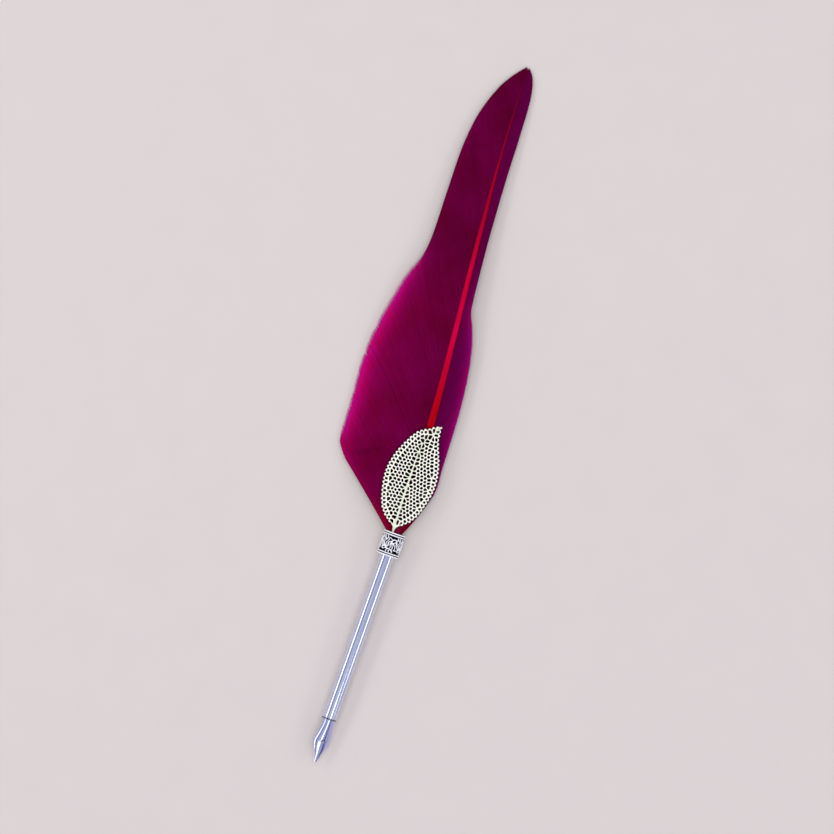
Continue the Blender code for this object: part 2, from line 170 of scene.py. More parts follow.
MARGIN_CLEAR = 1.55
VEIN_ANGLE = math.radians(50)

# Collar: the drum's relief is drawn on its unrolled surface, u round the drum and v along it
DRUM_FROM = 85.75
DRUM_TO = 91.95
DRUM_ROWS = 110
COLLAR_STEPS = 560
SCROLL_PERIODS = 4
RELIEF_HEIGHT = 0.34
RIM_ROUND = 0.12

# Barrel's inside: a bore for the quill at the top and a ring slot for the nib at the bottom
QUILL_BORE_R = 2.1
QUILL_BORE_BOTTOM = 75.0
SLOT_R = (2.75, 1.85)
SLOT_DEPTH = 7.4
CORE_DEPTH = 0.8
BARREL_STEPS = 128
ON_AXIS = 0.01

# Nib: the solid's sheet, drawn finer and a little flatter along its crest
NIB_ROLL = math.radians(22)
NIB_THICKNESS = 0.28
NIB_BACK = 23.0
NIB_HALF_WIDTH = ((-0.7, 0.5), (1, 0.8), (3, 1.5), (5, 2.5), (6.5, 3.2), (7.8, 3.42), (9.5, 3.2),
                  (12, 2.85), (15, 2.45), (23, 2.4))
NIB_SIDE_TURN = ((-0.7, 24), (5, 50), (7.8, 60), (12, 74), (15, 84), (23, 86))
NIB_CREST = ((-0.7, 1.2), (4, 1.9), (9, 2.4), (14, 2.5), (23, 2.5))
NIB_FLATNESS = 1.2
NIB_ROWS = 90
NIB_COLUMNS = 40
VENT_R = 0.6
VENT_Y = 7.5
SLIT_WIDTH = 0.11
SLIT_END = -2.0
# Band of painted dark reflection right of the slit: its edges across the nib, along it
DARK_REFLECTION_FROM = ((-0.7, 0.1), (2, 0.2), (5, 0.2), (9, -0.15), (23, -0.2))
DARK_REFLECTION_TO = ((-0.7, 0.5), (2, 1), (5, 1.35), (9, 0.6), (23, 0.45))

# Camera: straight above, rolled so that the pen leans as in the photograph
PEN_LEAN = math.radians(19.57)
VIEW_MIDDLE = (-7.13, 138.68)
VIEW_WIDTH = 324.4
VIEW_HEIGHT = 2400.0
SENSOR = 36.0
FLOOR_HALF = 3.0

# Colours, in linear light
# Vane colours: two dye tones mixed at random, the painted glow of light coming through the thin edge, and
# purple
LEFT_DYES_AND_GLOW = ((0.1681, 0, 0.0354), (0.2124, 0, 0.069), (0.76, 0.001, 0.187), (0.1593, 0, 0.0372))
RIGHT_DYES_AND_GLOW = ((0.1681, 0, 0.0443), (0.2124, 0, 0.0708), (0.46, 0.001, 0.165), (0.1505, 0, 0.0752))
FOOT_DYE = (0.31, 0.001, 0.012)
DOWN_DYE = (0.7257, 0.0089, 0.4425)
# Near black of the painted shade under the leaf and along the fold; it also darkens the vane towards its
# tip
UNDER_LEAF = (0.002, 0.0003, 0.001)
# Shaft colours along its length; the nearly black stops from 0.104 to 0.286 are painted shade under the
# leaf
SHAFT_DYES_AND_LEAF_SHADE = ((0.09, (0.2124, 0.0053, 0.0398)), (0.104, (0.0195, 0.0003, 0.0018)),
              (0.286, (0.0195, 0.0003, 0.0018)), (0.296, (0.56, 0, 0.004)), (0.36, (0.52, 0, 0.014)),
              (0.48, (0.69, 0, 0.050)), (0.60, (0.61, 0, 0.031)), (0.77, (0.385, 0, 0.017)),
              (0.90, (0.29, 0, 0.017)), (1, (0.16, 0, 0.020)))
# Painted shade along the shaft's left side
PAINTED_SHAFT_SIDE_SHADE = (0.0885, 0, 0.0443)
CREAMS = ((1, 1, 0.78), (1, 0.98, 0.86))
VEIN_GREEN = (0.76, 0.82, 0.58)
SILVERS = ((0.18, (0.004, 0.0035, 0.008)), (0.42, (0.08, 0.07, 0.13)), (0.56, (0.97, 0.97, 1)),
           (1, (1, 1, 1)))
# Metal colours, each with the darker colour painted in: shade on the barrel, dark reflection and shade on
# the nib
BARREL_TINTS = ((0.76, 0.79, 0.93), (0.05, 0.045, 0.055))
NIB_TINTS = ((0.62, 0.66, 0.93), (0.10, 0.075, 0.30))
FLOOR_TINTS = ((0.72, 0.66, 0.605), (0.73, 0.67, 0.613))
WHITE = (1, 1, 1)
WARM_WHITE = (1, 0.95, 0.86)

# Surroundings by their angle across the pen, in degrees from straight above: (angle, colour)
ROOM = ((-100, (0.60, 0.57, 0.60)), (-85, (0.50, 0.50, 0.60)), (-68, (0.60, 0.60, 0.70)),
        (-42, (0.50, 0.51, 0.62)), (-30, (0.19, 0.195, 0.31)), (-21, (0.50, 0.52, 0.68)),
        (-9, (0.60, 0.63, 0.81)), (3, (0.52, 0.56, 0.75)), (22, (0.44, 0.47, 0.64)),
        (34, (0.46, 0.48, 0.62)), (72, (0.55, 0.55, 0.64)), (85, (0.42, 0.41, 0.52)),
        (100, (0.55, 0.53, 0.57)))


def spline(points, at):
    """Reads a smooth curve through (place, value) points, at one place or at many."""
    places = np.array([point[0] for point in points], float)
    values = np.array([point[1] for point in points], float)
    slope = np.empty_like(values)
    slope[1:-1] = (values[2:] - values[:-2]) / (places[2:] - places[:-2])
    slope[0] = (values[1] - values[0]) / (places[1] - places[0])
    slope[-1] = (values[-1] - values[-2]) / (places[-1] - places[-2])
    at = np.clip(np.asarray(at, float), places[0], places[-1])
    i = np.clip(np.searchsorted(places, at, side="right") - 1, 0, len(places) - 2)
    step = places[i + 1] - places[i]
    t = (at - places[i]) / step
    value = (2 * t**3 - 3 * t**2 + 1) * values[i] + (3 * t**2 - 2 * t**3) * values[i + 1]
    return value + step * ((t**3 - 2 * t**2 + t) * slope[i] + (t**3 - t**2) * slope[i + 1])


def smoothstep(low, high, at):
    share = np.clip((np.asarray(at, float) - low) / (high - low), 0, 1)
    return share * share * (3 - 2 * share)


def stretch(at, rise, fall):
    """1 along a stretch with soft ends, and 0 beyond them."""
    return smoothstep(*rise, at) * (1 - smoothstep(*fall, at))


def unit(vectors):
    return vectors / (np.linalg.norm(vectors, axis=-1, keepdims=True) + 1e-9)


def shaft_z(y):
    """Height of the feather's shaft: straight in the holder, then an arch."""
    y = np.asarray(y, float)
    straight = AXIS_START_Z + y * math.sin(TILT)
    start = AXIS_START_Z + VANE_FOOT * math.sin(TILT)
    return np.where(y <= VANE_FOOT, straight, spline(((VANE_FOOT, start), *SHAFT_Z), y))


def vane_z(x, y):
    """Height of the vane's upper face."""
    off = x - spline(SHAFT_X, y)
    height = shaft_z(y)
    room = np.maximum(height - EDGE_CLEARANCE, 0)
    for side, (sag, reach, power) in SAGS.items():
        height = height - np.minimum(sag, room) * (np.maximum(side * off, 0) / reach) ** power
    return height


def leaf_z(x, y):
    """Height of the middle of the leaf's plate."""
    above_shaft = spline(SHAFT_WIDTH, y) / 2 - SHAFT_SINK + LEAF_GAP + LEAF_HALF_THICKNESS
    return shaft_z(y) + above_shaft - LEAF_CURL * (x - spline(LEAF_MIDRIB, y)) ** 2


def on_table(points):
    """Pen's frame in millimetres to the world in metres."""
    return (np.asarray(points, float) + (PEN_X, -(NIB_TIP + VANE_TIP) / 2, 0)) * MM


def in_holder(points):
    """The tilted barrel's frame in millimetres to the world in metres."""
    points = np.asarray(points, float)
    x, y, z = points[..., 0], points[..., 1], points[..., 2]
    up = AXIS_START_Z + y * math.sin(TILT) + z * math.cos(TILT)
    along = y * math.cos(TILT) - z * math.sin(TILT)
    return on_table(np.stack([x, along, up], -1))


def add_to_scene(name, data):
    """A new object that shows a mesh, curve, camera or lamp."""
    made = bpy.data.objects.new(name, data)
    bpy.context.scene.collection.objects.link(made)
    return made


def evaluated_mesh(piece):
    """A new mesh of a piece with its modifiers applied, or of a curve."""
    bpy.context.view_layer.update()
    depsgraph = bpy.context.evaluated_depsgraph_get()
    return bpy.data.meshes.new_from_object(piece.evaluated_get(depsgraph))


def places_of(mesh):
    """A mesh's points, one row each, from its own metres to millimetres."""
    flat = np.empty(len(mesh.vertices) * 3)
    mesh.vertices.foreach_get("co", flat)
    return flat.reshape(-1, 3) / MM


def grid_quads(index):
    """Faces over a grid of point numbers."""
    quads = np.stack([index[:-1, :-1], index[:-1, 1:], index[1:, 1:], index[1:, :-1]], -1)
    return quads.reshape(-1, 4).tolist()


def new_piece(name, points, faces, finish, values=None):
    """A smooth-shaded mesh from world points and faces, with named numbers on its corners."""
    mesh = bpy.data.meshes.new(name)
    mesh.from_pydata(np.asarray(points).tolist(), [], faces)
    for key, numbers in (values or {}).items():
        layer = mesh.attributes.new(key, "FLOAT", "POINT")
        layer.data.foreach_set("value", np.asarray(numbers, np.float32))
    mesh.polygons.foreach_set("use_smooth", [True] * len(mesh.polygons))
    mesh.materials.append(finish)
    mesh.update()
    return add_to_scene(name, mesh)


def hand_in(piece, node, sharp=None):
    """Makes a piece ride on the pen in place of a node's own mesh."""
    if sharp is not None:
        piece.data.set_sharp_from_angle(angle=math.radians(sharp))
    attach(piece, "root")
    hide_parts(node)


class Shader:
    """A node material or world, with short ways to add and link its nodes."""

    def __init__(self, name, kept_in=bpy.data.materials, main="Principled BSDF"):
        self.owner = kept_in.new(name)
        self.owner.use_nodes = True
        self.tree = self.owner.node_tree
        self.main = self.tree.nodes[main]

    def node(self, kind, **settings):
        made = self.tree.nodes.new(kind)
        for key, value in settings.items():
            setattr(made, key, value)
        return made

    def link(self, source, target):
        self.tree.links.new(source, target)

    def set(self, **values):
        for key, value in values.items():
            self.main.inputs[key.replace("_", " ")].default_value = value

    def drive(self, socket, source):
        self.link(source, self.main.inputs[socket])

    def noise(self, scale, detail=3.0, stretch=(1, 1, 1)):
        """Cloudy noise in the object's own space."""
        place = self.node("ShaderNodeTexCoord")
        mapping = self.node("ShaderNodeMapping")
        mapping.inputs["Scale"].default_value = stretch
        self.link(place.outputs["Object"], mapping.inputs["Vector"])
        made = self.node("ShaderNodeTexNoise")
        made.inputs["Scale"].default_value = scale
        made.inputs["Detail"].default_value = detail
        self.link(mapping.outputs["Vector"], made.inputs["Vector"])
        return made.outputs["Fac"]

    def value(self, name):
        """A number stored on the mesh's corners."""
        made = self.node("ShaderNodeAttribute", attribute_name=name)
        return made.outputs["Fac"]

    def ramp(self, source, stops):
        made = self.node("ShaderNodeValToRGB")
        elements = made.color_ramp.elements
        while len(elements) < len(stops):
            elements.new(0.5)
        for element, (place, colour) in zip(elements, stops):
            element.position = place
            element.color = (*colour, 1)
        self.link(source, made.inputs["Fac"])
        return made.outputs["Color"]

    def mix(self, factor, first, second):
        made = self.node("ShaderNodeMix", data_type="RGBA")
        for key, value in (("Factor_Float", factor), ("A_Color", first), ("B_Color", second)):
            socket = next(one for one in made.inputs if one.identifier == key)
            if isinstance(value, bpy.types.NodeSocket):
                self.link(value, socket)
            else:
                socket.default_value = (*value, 1)
        return next(one for one in made.outputs if one.identifier == "Result_Color")

    def spread(self, source, low, high, out_low, out_high):
        """Maps a range of numbers onto another."""
        made = self.node("ShaderNodeMapRange")
        self.link(source, made.inputs["Value"])
        limits = {"From Min": low, "From Max": high, "To Min": out_low, "To Max": out_high}
        for socket, limit in limits.items():
            made.inputs[socket].default_value = limit
        return made.outputs["Result"]

    def bump(self, height, strength, distance):
        made = self.node("ShaderNodeBump")
        made.inputs["Strength"].default_value = strength
        made.inputs["Distance"].default_value = distance
        self.link(height, made.inputs["Height"])
        self.drive("Normal", made.outputs["Normal"])


def vane_material(name, deep, lit, glow, purple):
    """Dyed barbs: deep in the middle of the vane, with a painted glow of light coming through where the
    edge thins out, and painted shade under the leaf.
    """
    shader = Shader(name)
    patches = shader.spread(shader.noise(60, 3.0), 0.38, 0.62, 0, 1)
    body = shader.mix(patches, deep, lit)
    body = shader.mix(shader.value("cool"), body, purple)
    body = shader.mix(shader.value("foot"), body, FOOT_DYE)
    mottle = shader.spread(shader.noise(330, 2.0, (1, 0.5, 1)), 0.35, 0.65, 0, 1)
    # Painted glow of light coming through the thin edge, mottled from red to pink
    red, pink = (glow[0], glow[1], glow[2] * 0.78), (glow[0] * 0.95, glow[1], glow[2] * 1.25)
    body = shader.mix(shader.value("glow"), body, shader.mix(mottle, red, pink))
    body = shader.mix(shader.spread(shader.value("tone"), 0, 1, 0, 0.27), body, (0, 0, 0))
    body = shader.mix(shader.value("down"), body, DOWN_DYE)
    # Painted shade under the leaf and along the fold, and darker towards the tip
    shader.drive("Base Color", shader.mix(shader.value("shade"), body, UNDER_LEAF))
    shader.set(Roughness=0.6, Specular_IOR_Level=0.015)
    shader.bump(shader.noise(2600, 2.0), 0.12, 0.0002)
    return shader.owner


def shaft_material():
    """Dyed keratin: crimson in the middle, darker towards the tip, with painted shade nearly black under
    the leaf and painted shade in darker purple along the shaft's left side.
    """
    shader = Shader("dyed_shaft")
    along = shader.ramp(shader.value("along"), SHAFT_DYES_AND_LEAF_SHADE)
    mottle = shader.noise(500, 3.0, (1, 0.12, 1))
    dark = shader.mix(shader.spread(mottle, 0.3, 0.8, 0.0, 0.3), along, (0.0, 0.0, 0.0))
    # Painted shade along the shaft's left side
    shader.drive("Base Color", shader.mix(shader.value("painted_side_shade"), dark, PAINTED_SHAFT_SIDE_SHADE))
    shader.set(Roughness=0.5, Specular_IOR_Level=0.02)
    shader.bump(mottle, 0.15, 0.0001)
    return shader.owner


def metal_material(name, colour, shadow, roughness, scratch):
    """Polished metal with faint drawing lines along the pen, and a second, darker tone painted where shade
    and dark reflections fall.
    """
    shader = Shader(name)
    lines = shader.noise(1500, 3.0, (1, 0.03, 1))
    haze = shader.spread(shader.noise(160, 3.0), 0.3, 0.7, 0.0, 1.0)
    tint = shader.mix(haze, colour, tuple(part * 0.92 for part in colour))
    # Mixes in the painted shade and dark reflections
    shader.drive("Base Color", shader.mix(shader.value("painted_shade_and_reflection"), tint, shadow))
    shader.drive("Roughness", shader.spread(lines, 0.3, 0.7, roughness * 0.85, roughness * 1.2))
    shader.set(Metallic=1.0)
    shader.bump(lines, scratch, 0.00002)
    return shader.owner


def gilt_material():
    """Pale gold plate, in two close tones."""
    shader = Shader("pale_gold")
    cloud = shader.spread(shader.noise(420, 4.0), 0.35, 0.7, 0, 1)
    shader.drive("Base Color", shader.mix(shader.value("vein"), shader.mix(cloud, *CREAMS), VEIN_GREEN))
    shader.set(Metallic=0.05, Roughness=0.35, Specular_IOR_Level=0.8)
    shader.bump(shader.noise(3200, 2.0), 0.15, 0.00004)
    return shader.owner


def antique_material():
    """Cast silver with black left in the recesses, by the height of the relief."""
    shader = Shader("antique_silver")
    grain = shader.noise(1800, 4.0)
    total = shader.node("ShaderNodeMath", operation="ADD")
    shader.link(shader.value("relief"), total.inputs[0])
    shader.link(shader.spread(grain, 0.2, 0.8, -0.08, 0.08), total.inputs[1])
    height = total.outputs[0]
    shader.drive("Base Color", shader.ramp(height, SILVERS))
    shader.drive("Roughness", shader.spread(height, 0.1, 0.8, 0.6, 0.30))
    shader.drive("Metallic", shader.spread(height, 0.25, 0.6, 0.95, 0.05))
    shader.set(Specular_IOR_Level=0.8)
    shader.bump(grain, 0.2, 0.00005)
    return shader.owner


def barb_paths(starts, stations, side):
    """Every barb in plan: one row a barb, one column a station from the shaft to the edge."""
    half = spline(SHAFT_WIDTH, starts) / 2
    root = np.stack([spline(SHAFT_X, starts) + side * half * 0.55, starts], -1)
    end_y = starts + spline(RISES[side], starts)
    end = np.stack([spline(EDGES[side], end_y) + side * EDGE_OUT[side], end_y], -1)
    angle = np.radians(spline(LEANS[side], starts))
    way = np.stack([side * np.sin(angle), np.cos(angle)], -1)
    span = np.linalg.norm(end - root, axis=-1)
    knee = root + way * (span * BARB_BEND)[:, None]
    s = stations[None, :, None]
    path = (1 - s) ** 2 * root[:, None] + 2 * s * (1 - s) * knee[:, None] + s**2 * end[:, None]
    return path, end_y, span


def barb_prisms(path, width, height, under):
    """Corners and faces of a thin roof-shaped rod along every barb."""
    count, stations = path.shape[:2]
    tangent = unit(np.gradient(path, axis=1))
    across = np.stack([-tangent[..., 1], tangent[..., 0]], -1) * (width / 2)[..., None]
    low, high = path - across, path + across
    corners = np.empty((count, stations, 3, 3))
    for k, (plan, lift) in enumerate(((low, -under), (path, height), (high, -under))):
        corners[:, :, k, :2] = plan
        corners[:, :, k, 2] = vane_z(plan[..., 0], plan[..., 1]) + lift
    index = np.arange(count * stations * 3).reshape(count, stations, 3)
    faces = []
    for a, b in ((0, 1), (1, 2), (2, 0)):
        quads = np.stack([index[:, :-1, a], index[:, :-1, b], index[:, 1:, b], index[:, 1:, a]], -1)
        faces += quads.reshape(-1, 4).tolist()
    faces += index[:, 0, ::-1].tolist() + index[:, -1, :].tolist()
    return corners.reshape(-1, 3), faces


def web_sheet(path):
    """The closed thin sheet of hooked barbules that joins the barbs below their ridges."""
    count, stations = path.shape[:2]
    top = np.concatenate([path, (vane_z(path[..., 0], path[..., 1]) - WEB_DROP)[..., None]], -1)
    points = np.concatenate([top.reshape(-1, 3), (top - (0, 0, WEB_THICKNESS)).reshape(-1, 3)])
    index = np.arange(count * stations).reshape(count, stations)
    below = index + count * stations
    lower = np.stack([below[:-1, :-1], below[1:, :-1], below[1:, 1:], below[:-1, 1:]], -1)
    rim = list(index[0, :]) + list(index[1:, -1]) + list(index[-1, -2::-1]) + list(index[-2:0:-1, 0])
    shift = count * stations
    walls = [[int(a), int(a) + shift, int(b) + shift, int(b)] for a, b in zip(rim, rim[1:] + rim[:1])]
    return points, grid_quads(index) + lower.reshape(-1, 4).tolist() + walls


def fluff_at(end_y, side):
    """How downy the free edge is: most along the bulge, 0 on the crisp upper and lower edges."""
    return DOWNY_SHARE[side] * stretch(end_y, *DOWNY_STRETCH[side])


def open_splits(path, end_y, span, stations):
    """Parts the vane where barbs have unhooked from each other at its edge."""
    for place, gap, depth in SPLITS:
        away = end_y - place
        push = np.sign(away) * gap * np.exp(-np.abs(away) / SPLIT_SPREAD)
        start = 1 - depth / span
        share = np.clip((stations[None, :] - start[:, None]) / (1 - start[:, None]), 0, None) ** 1.3
        path[..., 1] += push[:, None] * share


def ragged_tips(path, span, stations, downy, draw):
    """Makes the downy barbs end at uneven lengths and lean together in small clumps."""
    count = len(span)
    grow = np.clip((stations - 0.8) / 0.2, 0, 1) ** 2
    longer = downy * draw.normal(0.20, 0.14, count) + draw.normal(0, 0.04, count)
    tail = unit(path[:, -1:] - path[:, -2:-1])
    path += tail * longer[:, None, None] * grow[None, :, None]
    clumps = draw.normal(0, 0.08, count // CLUMP + 2)
    sway = np.interp(np.arange(count), np.arange(len(clumps)) * CLUMP, clumps)
    path[..., 1] += (downy * sway)[:, None] * grow[None, :]


def downy_hairs(path, end_y, downy, draw):
    """Fine barbules that stick out between the barbs' tips along the downy edge."""
    points = []
    faces = []
    last = path.shape[1] - 1
    for row in np.nonzero((downy > 0.3) & (split_depth(end_y) < 0.8))[0]:
        way = path[row, last] - path[row, last - 1]
        for _ in range(HAIRS_PER_BARB):
            share = draw.uniform(0.0, 1.0)
            spot = path[row, last - 1] * (1 - share) + path[row, last] * share
            angle = math.atan2(way[1], way[0]) + draw.choice((-1, 1)) * draw.uniform(*HAIR_SPREAD)
            length = draw.uniform(*HAIR_LENGTH) * downy[row]
            tip = spot + np.array([math.cos(angle), math.sin(angle)]) * length
            side = np.array([-math.sin(angle), math.cos(angle)]) * HAIR_HALF_WIDTH
            foot = float(vane_z(spot[0], spot[1]))
            end = float(vane_z(tip[0], tip[1])) + draw.uniform(-0.1, 0.2)
            first = len(points)
            points += [(*(spot - side), foot), (*(spot + side), foot)]
            points += [(*spot, foot + HAIR_HEIGHT), (*tip, end)]
            faces += [[first + corner for corner in face] for face in HAIR_FACES]
    return np.array(points), faces


def inside_edge(x, y, side):
    """How far inside the vane's outer edge a point is, in millimetres across the pen."""
    return np.maximum(side * (spline(EDGES[side], y) - x), 0)


def glow_at(x, y, side):
    """How far light comes through the vane: most at the thin outer edge of the bulge."""
    inside = inside_edge(x, y, side)
    if side > 0:
        return 0.9 * np.exp(-inside / 2.7) * smoothstep(110, 144, y) * (1 - 0.75 * smoothstep(176, 195, y))
    reach = 3.9 - 1.5 * smoothstep(168, 188, y)
    edge = 0.86 * np.exp(-(inside / reach) ** 1.4) + 0.20 * np.exp(-inside / 20)
    return edge * (0.10 + 0.90 * smoothstep(100, 136, y)) * (1 - 0.93 * smoothstep(180, 206, y))


def violet_at(x, y, side):
    """Where the outermost barbs turn from magenta to violet."""
    share, reach, rise = (0.3, 0.7, (98, 125)) if side > 0 else (0.7, 0.9, (119, 126))
    return share * np.exp(-inside_edge(x, y, side) / reach) * stretch(y, rise, (185, 205))


def foot_at(y):
    """Where the dye turns crimson, towards the vane's foot."""
    return 0.8 * (1 - smoothstep(95, 106, y))


def cool_at(x, y, side):
    """Where the dye turns purple: across the right vane, and near the shaft on the lower left."""
    if side > 0:
        return 0.3 + 0.7 * smoothstep(0, 5, x - spline(SHAFT_X, y))
    return 0.5 * (1 - smoothstep(2, 9, spline(SHAFT_X, y) - x)) * (1 - smoothstep(150, 170, y))


def shade_at(x, y):
    """Where the leaf keeps the light off the feather."""
    right = np.array(LEAF_OUTLINE[:LEAF_TIP + 1])
    left = np.array(LEAF_OUTLINE[LEAF_TIP:][::-1])
    to_right = np.interp(y, right[:, 1], right[:, 0]) - x
    inside = np.minimum(to_right, x - np.interp(y, left[:, 1], left[:, 0]))
    return 0.97 * smoothstep(-0.9, 0.1, inside) * stretch(y, (94.5, 97), (135, 138))


def painted_crease_shade_at(x, y):
    """Painted shade along a faint fold across the lower left of the vane, drawn in colour only."""
    (x0, y0), (x1, y1) = CREASE_SHADE_LINE
    length = math.dist(*CREASE_SHADE_LINE)
    along = ((x - x0) * (x1 - x0) + (y - y0) * (y1 - y0)) / length
    off = ((x - x0) * (y1 - y0) - (y - y0) * (x1 - x0)) / length
    return np.exp(-(off / 0.45) ** 2) * stretch(along, (-1, 2), (length - 3, length))


def split_depth(end_y):
    """How far the sheet between the barbs is torn back from the edge."""
    depth = np.zeros_like(end_y)
    for place, gap, deep in SPLITS:
        if gap >= OPEN_GAP:
            depth = np.maximum(depth, deep * np.exp(-((end_y - place) / TEAR_WIDTH) ** 2))
    return depth


def sheet_paths(path, end_y, span, downy):
    """Fewer, slightly shorter lines for the sheet that joins the barbs."""
    count, columns = path.shape[:2]
    rows = np.unique(np.append(np.arange(0, count, 2), count - 1))
    back = 0.25 + 1.0 * downy + split_depth(end_y)
    short = 1 - back[rows] / np.maximum(span[rows], 3)
    place = np.linspace(0, 1, columns // 2 + 1)[None, :] * short[:, None] * (columns - 1)
    low = np.clip(place.astype(int), 0, columns - 2)
    part = (place - low)[..., None]
    return path[rows[:, None], low] * (1 - part) + path[rows[:, None], low + 1] * part


def make_vane(name, side, columns, finish, seed):
    """One vane: its barbs, the sheet that joins them and its downy fringe."""
    draw = np.random.default_rng(seed)
    starts = np.arange(BARB_FIRST, BARB_LAST, BARB_SPACING)
    count = len(starts)
    stations = np.linspace(0, 1, columns) ** 0.85
    path, end_y, span = barb_paths(starts, stations, side)
    downy = fluff_at(end_y, side)
    if side < 0:
        open_splits(path, end_y, span, stations)
    sheet = sheet_paths(path, end_y, span, downy * (1 if side < 0 else 0.5))
    apart = np.gradient(path, axis=0)
    tangent = unit(np.gradient(path, axis=1))
    gap = np.clip(np.abs(apart[..., 0] * tangent[..., 1] - apart[..., 1] * tangent[..., 0]), 0.05, 0.6)
    ragged_tips(path, span, stations, downy, draw)

    from_tip = (1 - stations)[None, :] * span[:, None]
    soft = 1 - 0.75 * downy[:, None] * (1 - np.clip(from_tip / TIP_LENGTH, 0, 1))
    taper = soft * (1 - 0.5 * (1 - np.clip(from_tip / 0.5, 0, 1)))
    width = gap * BARB_OVERLAP * taper * draw.uniform(0.92, 1.08, (count, 1))
    lift = BARB_LIFT * draw.uniform(0.2, 1.0, (count, 1)) + 0 * from_tip
    points, faces = barb_prisms(path, width, BARB_RIDGE * np.clip(width / 0.3, 0.3, 1) + lift, BARB_UNDER)
    tone = np.repeat(draw.beta(1.4, 3.0, count), columns * 3)
    down = np.zeros(len(points))

    hairs = downy_hairs(path, end_y, downy, random.Random(seed))
    for (more, more_faces), more_tone, more_down in ((web_sheet(sheet), 0.8, 0.0), (hairs, 0.0, 0.85)):
        faces += [[corner + len(points) for corner in face] for face in more_faces]
        points = np.concatenate([points, more])
        tone = np.concatenate([tone, np.full(len(more), more_tone)])
        down = np.concatenate([down, np.full(len(more), more_down)])
    x, y = points[:, 0], points[:, 1]
    down = np.maximum(down, violet_at(x, y, side))
    # Painted shade under the leaf and along the fold, and darker towards the tip
    shade = np.maximum(shade_at(x, y), 0.35 * painted_crease_shade_at(x, y)) + 0.16 * smoothstep(252, 278, y)
    values = {"tone": tone, "glow": np.clip(glow_at(x, y, side), 0, 1), "cool": cool_at(x, y, side),
              "shade": shade, "down": down, "foot": foot_at(y)}
    return new_piece(name, on_table(points), faces, finish, values)


def make_shaft(finish):
    """The shaft: an oval tube that thins to the tip, closed at both ends."""
    count, sides = 160, 20
    y = np.linspace(SHAFT_FOOT, SHAFT_END, count)
    half = spline(SHAFT_WIDTH, y) / 2
    turn = np.linspace(0, 2 * math.pi, sides, endpoint=False)
    x = spline(SHAFT_X, y)[:, None] + half[:, None] * np.cos(turn)[None, :]
    tall = np.where(y > VANE_FOOT + 4, 0.85, 1.0) * half
    sink = SHAFT_SINK * smoothstep(VANE_FOOT, VANE_FOOT + 6, y)
    z = (shaft_z(y) - sink)[:, None] + tall[:, None] * np.sin(turn)[None, :]
    points = np.stack([x, np.repeat(y[:, None], sides, 1), z], -1).reshape(-1, 3)
    index = np.arange(count * sides).reshape(count, sides)
    after = np.roll(index, -1, 1)
    quads = np.stack([index[:-1], index[1:], after[1:], after[:-1]], -1).reshape(-1, 4).tolist()
    faces = quads + [index[0].tolist(), index[-1, ::-1].tolist()]
    along = np.repeat((y - SHAFT_FOOT) / (SHAFT_END - SHAFT_FOOT), sides)
    # Painted shade along the shaft's left side
    painted_side_shade = 0.8 * np.tile(smoothstep(-0.55, -0.9, np.cos(turn)), count)
    return new_piece("feather_shaft", on_table(points), faces, finish, {"along": along, "painted_side_shade": painted_side_shade})


def make_feather():
    left = vane_material("dyed_left_vane", *LEFT_DYES_AND_GLOW)
    right = vane_material("dyed_right_vane", *RIGHT_DYES_AND_GLOW)
    pieces = (
        make_vane("feather_left_vane", -1, 28, left, 5),
        make_vane("feather_right_vane", 1, 16, right, 8),
        make_shaft(shaft_material()),
    )
    for piece in pieces:
        hand_in(piece, "feather")


def fine_path(points, per_span):
    """More points on a smooth open curve through the given ones, with the run to each."""
    points = np.array(points, float)
    run = np.append(0, np.cumsum(np.linalg.norm(np.diff(points, axis=0), axis=1)))
    at = np.linspace(0, run[-1], per_span * (len(points) - 1) + 1)
    return np.stack([spline(list(zip(run, column)), at) for column in points.T], -1), at


def leaf_margin():
    """The lobed margin from the stem round the tip and back, its plain run, and a hole in every lobe."""
    path, at = fine_path(LEAF_OUTLINE, 24)
    tangent = unit(np.gradient(path, axis=0))
    outward = np.stack([tangent[:, 1], -tangent[:, 0]], -1)
    strength = smoothstep(2, 5, at) * (1 - smoothstep(at[-1] - 5, at[-1] - 2, at))
    lobes = (np.abs(np.sin(np.pi * at / LOBE_PITCH)) ** 0.9 - 0.62) * (1 + 0.25 * np.sin(1.9 * at))
    margin = path + outward * (LOBE_DEPTH * lobes * strength - LEAF_ROUND * 0.6)[:, None]
    middles = np.arange(LOBE_PITCH * 2.5, at[-1] - LOBE_PITCH * 2, LOBE_PITCH)
    inner = path - outward * LOBE_HOLE_INSET
    lobe_holes = np.stack([np.interp(middles, at, inner[:, 0]), np.interp(middles, at, inner[:, 1])], -1)
    return margin, path, lobe_holes


def clipped(shape, point, outward):
    """The part of a convex outline that lies behind a line."""
    kept = []
    for index, corner in enumerate(shape):
        after = shape[(index + 1) % len(shape)]
        here = (corner - point).dot(outward)
        there = (after - point).dot(outward)
        if here <= 0:
            kept.append(corner)
        if here * there < 0:
            kept.append(corner + (after - corner) * (here / (here - there)))
    return kept


def area_of(shape):
    return abs(sum(a.x * b.y - b.x * a.y for a, b in zip(shape, shape[1:] + shape[:1]))) / 2


def rounded(shape):
    """Cuts the corners off an outline twice, which leaves a rounded hole."""
    for _ in range(2):
        cut = []
        for a, b in zip(shape, shape[1:] + shape[:1]):
            cut += [a * 0.75 + b * 0.25, a * 0.25 + b * 0.75]
        shape = cut
    return shape


def is_inside(outline, x, y):
    """Whether a spot lies inside a closed outline, by counting the crossings of a ray."""
    x0, y0 = outline[:, 0], outline[:, 1]
    x1, y1 = np.roll(x0, -1), np.roll(y0, -1)
    cross = (y0 > y) != (y1 > y)
    at = x0 + (y - y0) / np.where(y1 == y0, 1, y1 - y0) * (x1 - x0)
    return np.count_nonzero(cross & (x < at)) % 2 == 1


